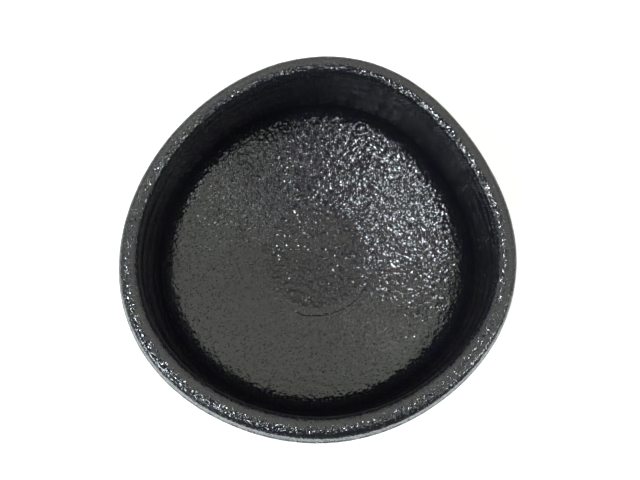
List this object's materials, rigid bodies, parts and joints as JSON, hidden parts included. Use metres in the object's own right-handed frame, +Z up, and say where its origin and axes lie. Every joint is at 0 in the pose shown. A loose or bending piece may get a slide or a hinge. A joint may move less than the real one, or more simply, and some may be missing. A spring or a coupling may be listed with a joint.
{
  "type": "tea bowl",
  "caption": "Low tea bowl with a rounded triangular mouth, a rolled lip, a full belly, a shallow well in the floor and a separate foot ring, glazed black inside and out.",
  "frame": {"origin": "centre of the bounding box in plan, on the surface that the foot ring stands on", "axes": "+Z up out of the mouth, +X to the right and -Y to the front of the picture, where the belly hangs out furthest"},
  "size_m": [0.1308, 0.128, 0.0786],
  "materials": {
    "bare_clay": "matt fired clay",
    "black_glaze": "glossy black glaze with a fine pitted orange-peel surface",
    "lip_glaze": "glossy black glaze, a smoother second coat"
  },
  "bodies": {
    "root": {"clay_body": "bare_clay", "foot_ring": "bare_clay", "inside_glaze": "black_glaze", "outside_glaze": "black_glaze", "lip_glaze": "lip_glaze"}
  },
  "joints": []
}
